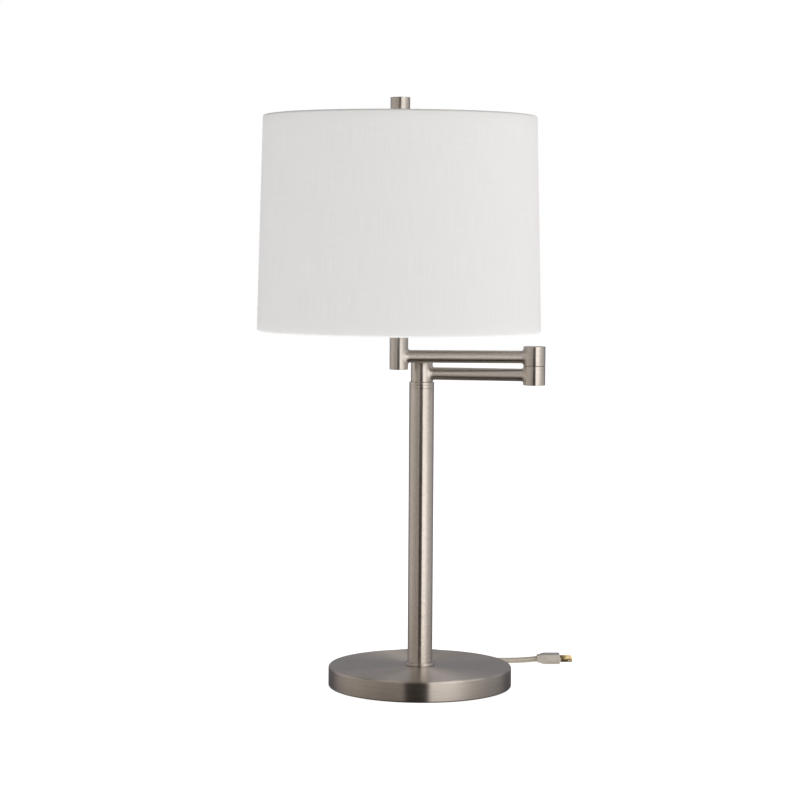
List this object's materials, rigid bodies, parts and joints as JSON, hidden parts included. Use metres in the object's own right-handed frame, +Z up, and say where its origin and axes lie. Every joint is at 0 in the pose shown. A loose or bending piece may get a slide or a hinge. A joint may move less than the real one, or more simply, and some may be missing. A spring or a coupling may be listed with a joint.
{
  "type": "swing-arm table lamp",
  "caption": "Table lamp with a weighted disc base, a pole, two swinging arms and a tapered drum shade on a harp.",
  "frame": {"origin": "on the pole's axis, in the plane of the base pad's underside that the lamp stands on", "axes": "+Z up along the pole, +X to the right and -Y towards a viewer who faces the folded arms"},
  "size_m": [0.3805, 0.3953, 0.686],
  "materials": {
    "brushed_nickel": "satin brushed nickel plate with a warm tone",
    "plain_steel": "zinc-plated steel",
    "cast_iron": "raw sand-cast iron",
    "brass": "stamped brass",
    "felt": "black felt",
    "nylon": "natural nylon",
    "insulating_paper": "fibre insulating sleeve",
    "black_plastic": "moulded phenolic",
    "clear_cord": "translucent clear-silver PVC over stranded wire",
    "white_cloth": "white woven shade cloth over a stiff liner",
    "white_paint": "white enamelled wire",
    "frosted_glass": "soft white frosted glass"
  },
  "bodies": {
    "base": {"base_cover": "brushed_nickel", "base_weight": "cast_iron", "base_pad": "felt", "base_washer": "plain_steel", "base_nut": "plain_steel", "tie_rod": "plain_steel", "foot_ring": "brushed_nickel", "pole_tube": "brushed_nickel", "pole_cap": "brushed_nickel", "pole_washer": "nylon", "pole_nut": "plain_steel", "wire_base_to_pole": "clear_cord", "cord_strain_relief": "clear_cord", "cord_lead": "clear_cord", "cord_coil": "clear_cord", "cord_tie": "black_plastic", "cord_tail": "clear_cord", "plug_body": "clear_cord", "plug_blade_1": "brass", "plug_blade_2": "brass"},
    "lower_arm": {"pole_hub": "brushed_nickel", "pole_hub_cap": "brushed_nickel", "lower_arm_tube": "brushed_nickel", "lower_elbow_hub": "brushed_nickel", "elbow_bottom_cap": "brushed_nickel", "elbow_washer": "nylon", "elbow_pin": "plain_steel", "elbow_nut_lower": "plain_steel", "elbow_nut_upper": "plain_steel", "wire_lower_arm": "clear_cord"},
    "upper_arm": {"upper_elbow_hub": "brushed_nickel", "elbow_top_cap": "brushed_nickel", "upper_arm_tube": "brushed_nickel", "stem_tube": "brushed_nickel", "stem_bottom_cap": "brushed_nickel", "stem_neck": "brushed_nickel", "socket_nipple": "plain_steel", "harp_saddle": "plain_steel", "harp": "brushed_nickel", "socket_cap": "brass", "socket_shell": "brass", "socket_sleeve": "insulating_paper", "socket_body": "black_plastic", "socket_screw_shell": "brass", "bulb_base": "plain_steel", "bulb_glass": "frosted_glass", "wire_upper_arm": "clear_cord"},
    "shade": {"shade_cloth": "white_cloth", "shade_top_ring": "white_paint", "shade_bottom_ring": "white_paint", "shade_spider": "white_paint"},
    "finial": {"finial": "brushed_nickel"},
    "switch_knob": {"switch_knob": "black_plastic"},
    "harp_ferrule_left": {"harp_ferrule_left": "brushed_nickel"},
    "harp_ferrule_right": {"harp_ferrule_right": "brushed_nickel"}
  },
  "joints": [
    {"name": "pole_swivel", "type": "hinge", "parent": "base", "child": "lower_arm", "pos_m": [0, 0, 0.358], "axis": [0, 0, 1], "range_deg": [-165, 165]},
    {"name": "elbow_swivel", "type": "hinge", "parent": "lower_arm", "child": "upper_arm", "pos_m": [0.12966, -0.02474, 0.37865], "axis": [0, 0, 1], "range_deg": [-10, 330]},
    {"name": "shade_turn", "type": "hinge", "parent": "upper_arm", "child": "shade", "pos_m": [-0.02683, -0.02282, 0.66], "axis": [0, 0, 1], "continuous": true},
    {"name": "finial_turn", "type": "hinge", "parent": "upper_arm", "child": "finial", "pos_m": [-0.02683, -0.02282, 0.67], "axis": [0, 0, 1], "continuous": true},
    {"name": "switch_turn", "type": "hinge", "parent": "upper_arm", "child": "switch_knob", "pos_m": [-0.02683, -0.05, 0.4695], "axis": [0, -1, 0], "continuous": true},
    {"name": "ferrule_left_slide", "type": "slide", "parent": "upper_arm", "child": "harp_ferrule_left", "axis": [0, 0, 1], "range_m": [0, 0.008]},
    {"name": "ferrule_right_slide", "type": "slide", "parent": "upper_arm", "child": "harp_ferrule_right", "axis": [0, 0, 1], "range_m": [0, 0.008]}
  ]
}
